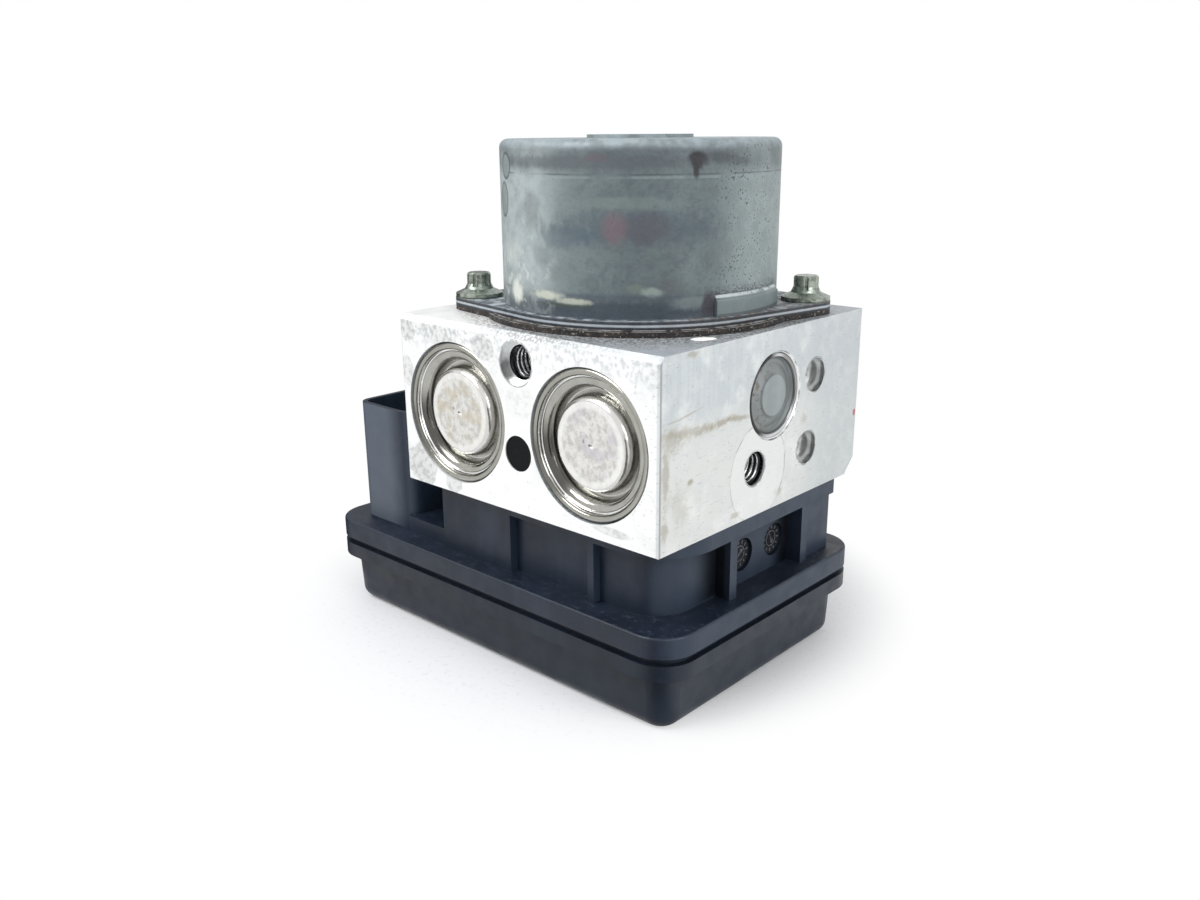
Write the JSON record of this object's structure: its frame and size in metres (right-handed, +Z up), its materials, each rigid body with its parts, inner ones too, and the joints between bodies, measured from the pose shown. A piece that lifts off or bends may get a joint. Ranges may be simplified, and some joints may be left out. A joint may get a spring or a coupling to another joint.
{
  "type": "abs brake module",
  "caption": "Hydraulic brake modulator: drilled aluminium valve block with accumulator caps, round pump motor on top and a plastic control unit with an upward plug connector underneath.",
  "frame": {"origin": "underside of the control unit cover, straight below the motor axis", "axes": "+Z up along the motor axis, -Y towards the face with the accumulator caps, -X towards the plug connector"},
  "size_m": [0.1209, 0.0796, 0.1264],
  "materials": {
    "block_aluminium": "machined aluminium alloy, lightly stained",
    "vent_plastic": "black moulded vent plug",
    "plug_steel": "bright turned steel",
    "can_zinc": "zinc-nickel plated drawn steel, weathered",
    "gasket_steel": "dark coated steel ring",
    "shield_steel": "plated steel",
    "bearing_steel": "ground bearing steel",
    "ferrite": "sintered ferrite",
    "carbon": "copper-graphite",
    "inner_plastic": "moulded nylon",
    "tinned_brass": "tin-plated contact metal",
    "bolt_zinc": "zinc plated steel screw",
    "core_steel": "stack of electrical steel sheets",
    "winding_copper": "enamelled copper wire",
    "housing_plastic": "glass-filled black moulding",
    "cover_plastic": "glass-filled black moulding",
    "board_laminate": "green solder mask over glass laminate",
    "chip_plastic": "black epoxy packages",
    "capacitor_aluminium": "aluminium can capacitors",
    "valve_steel": "turned steel",
    "cap_nickel": "nickel plated pressed steel",
    "spring_steel": "spring wire",
    "piston_aluminium": "anodised aluminium",
    "seal_rubber": "black nitrile rubber",
    "pump_plug_steel": "turned steel plug, lightly stained"
  },
  "bodies": {
    "module": {"accumulator_cap_left": "cap_nickel", "accumulator_cap_right": "cap_nickel", "accumulator_spring_left": "spring_steel", "accumulator_spring_right": "spring_steel", "bearing_retainer": "shield_steel", "board_capacitors": "capacitor_aluminium", "board_chips": "chip_plastic", "board_screws": "shield_steel", "brush_holder": "inner_plastic", "channel_plugs": "plug_steel", "circuit_board": "board_laminate", "coil_carrier": "inner_plastic", "coil_leads": "tinned_brass", "coil_windings": "winding_copper", "coil_yokes": "shield_steel", "ecu_cover": "cover_plastic", "ecu_housing": "housing_plastic", "housing_screws": "shield_steel", "inlet_valves": "valve_steel", "lower_bearing": "bearing_steel", "motor_bolts": "bolt_zinc", "motor_brushes": "carbon", "motor_can": "can_zinc", "motor_end_shield": "shield_steel", "motor_gasket": "gasket_steel", "motor_magnets": "ferrite", "motor_terminals": "tinned_brass", "outlet_check_balls": "bearing_steel", "outlet_valves": "valve_steel", "power_blades": "tinned_brass", "pump_plug_left": "pump_plug_steel", "pump_plug_right": "pump_plug_steel", "pump_sleeve_left": "valve_steel", "pump_sleeve_right": "valve_steel", "pump_spring_left": "spring_steel", "pump_spring_right": "spring_steel", "signal_pins": "tinned_brass", "upper_bearing": "bearing_steel", "valve_block": "block_aluminium", "vent_plug": "vent_plastic"},
    "rotor": {"rotor_shaft": "bearing_steel", "armature_core": "core_steel", "armature_windings": "winding_copper", "commutator": "winding_copper", "eccentric": "bearing_steel", "eccentric_rollers": "bearing_steel", "eccentric_ring": "bearing_steel"},
    "accumulator_left": {"accumulator_piston_left": "piston_aluminium", "accumulator_seal_left": "seal_rubber"},
    "pump_left": {"pump_piston_left": "bearing_steel"},
    "accumulator_right": {"accumulator_piston_right": "piston_aluminium", "accumulator_seal_right": "seal_rubber"},
    "pump_right": {"pump_piston_right": "bearing_steel"}
  },
  "joints": [
    {"name": "motor_spin", "type": "hinge", "parent": "module", "child": "rotor", "pos_m": [0, 0, 0.098], "axis": [0, 0, 1], "continuous": true},
    {"name": "accumulator_left_slide", "type": "slide", "parent": "module", "child": "accumulator_left", "axis": [0, -1, 0], "range_m": [0, 0.008], "stiffness_N_per_m": 2500, "springref_m": -0.002, "deforming": ["accumulator_spring_left"]},
    {"name": "accumulator_right_slide", "type": "slide", "parent": "module", "child": "accumulator_right", "axis": [0, -1, 0], "range_m": [0, 0.008], "stiffness_N_per_m": 2500, "springref_m": -0.002, "deforming": ["accumulator_spring_right"]},
    {"name": "pump_left_slide", "type": "slide", "parent": "module", "child": "pump_left", "axis": [1, 0, 0], "range_m": [0, 0.00095], "stiffness_N_per_m": 3000, "springref_m": 0.00095, "deforming": ["pump_spring_left"]},
    {"name": "pump_right_slide", "type": "slide", "parent": "module", "child": "pump_right", "axis": [-1, 0, 0], "range_m": [0, 0.00095], "stiffness_N_per_m": 3000, "springref_m": 0.00095, "deforming": ["pump_spring_right"]}
  ]
}
